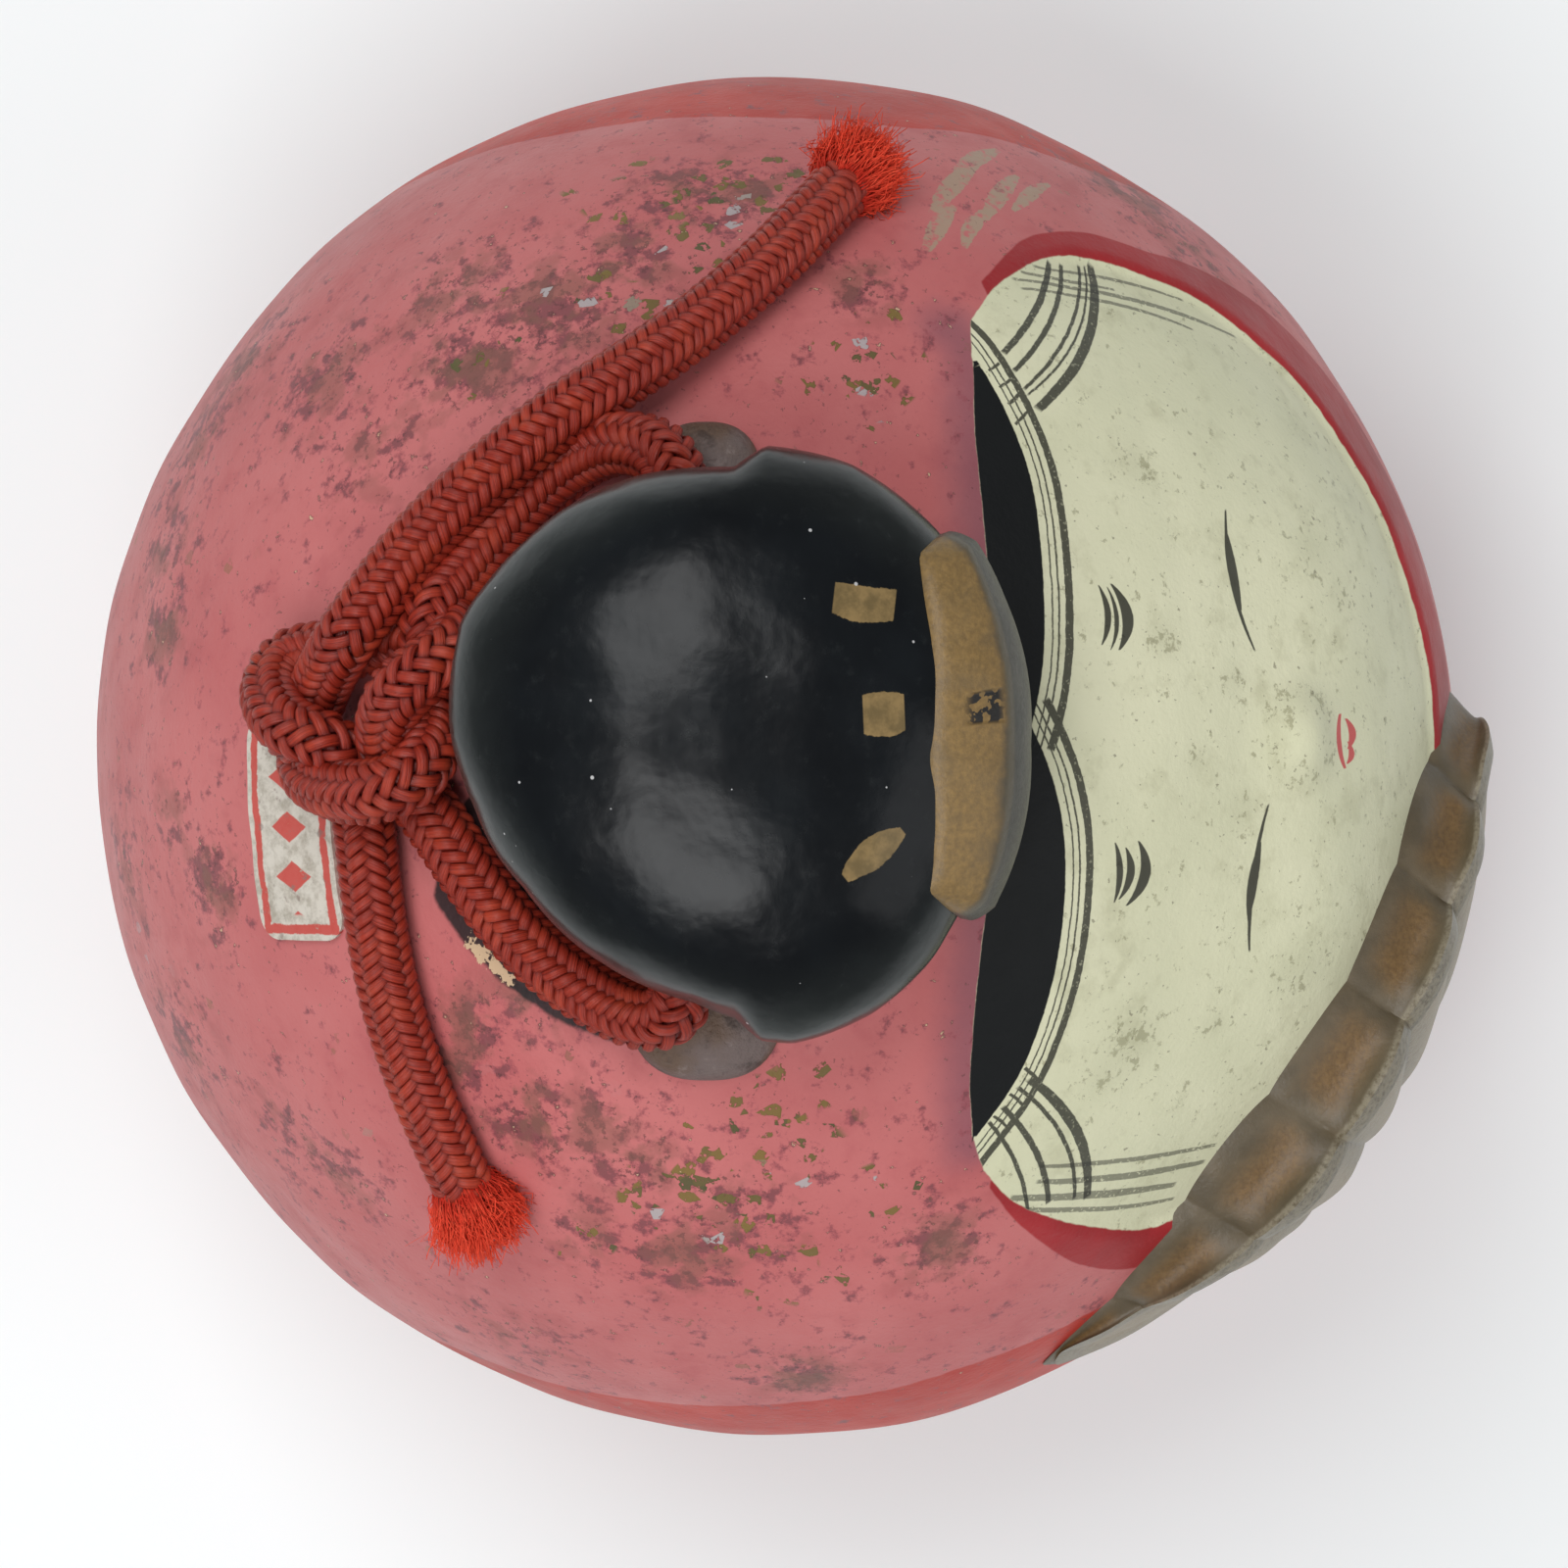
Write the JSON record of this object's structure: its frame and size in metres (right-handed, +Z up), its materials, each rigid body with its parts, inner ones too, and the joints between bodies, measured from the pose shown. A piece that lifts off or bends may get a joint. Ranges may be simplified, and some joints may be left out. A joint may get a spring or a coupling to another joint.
{
  "type": "daruma doll bell",
  "caption": "Round painted clay bell shaped as a princess daruma, with a black topknot, comb, chest fan and a red cord tied behind the topknot; a loose pellet rattles inside.",
  "frame": {"origin": "middle of the footprint, on the surface that the doll stands on", "axes": "+Z up; the doll faces -Y, and its left hand is on the +X side"},
  "size_m": [0.088, 0.0896, 0.0995],
  "materials": {
    "painted_clay": "matt pink distemper paint over fired clay, worn and spotted, with red, cream and black painted areas",
    "black_lacquer": "semi-gloss black paint on clay",
    "gold_paint": "dull bronze-gold paint on clay relief, rubbed at the edges",
    "bronze_paint": "dusty bronze paint on clay",
    "label_paper": "soiled white paper patch with a red printed border",
    "bare_clay": "bare fired clay",
    "red_cord": "braided red cord with a soft sheen",
    "cord_fray": "loose frayed red fibres"
  },
  "bodies": {
    "doll": {"body_front_shell": "painted_clay", "body_rear_shell": "painted_clay", "topknot": "black_lacquer", "comb": "gold_paint", "hair_bar_left": "bronze_paint", "hair_bar_right": "bronze_paint", "fan": "gold_paint", "back_label": "label_paper", "cord_in_tunnel": "red_cord", "cord_loop_left": "red_cord", "cord_loop_right": "red_cord", "cord_knot": "red_cord", "cord_tail_long": "red_cord", "cord_tail_short": "red_cord", "cord_tip_long": "cord_fray", "cord_tip_short": "cord_fray"},
    "pellet": {"rattle_ball": "bare_clay"}
  },
  "joints": [
    {"name": "pellet_roll", "type": "hinge", "parent": "doll", "child": "pellet", "pos_m": [0, 0.0009, 0.064], "axis": [0, 1, 0], "range_deg": [-31, 31]}
  ]
}
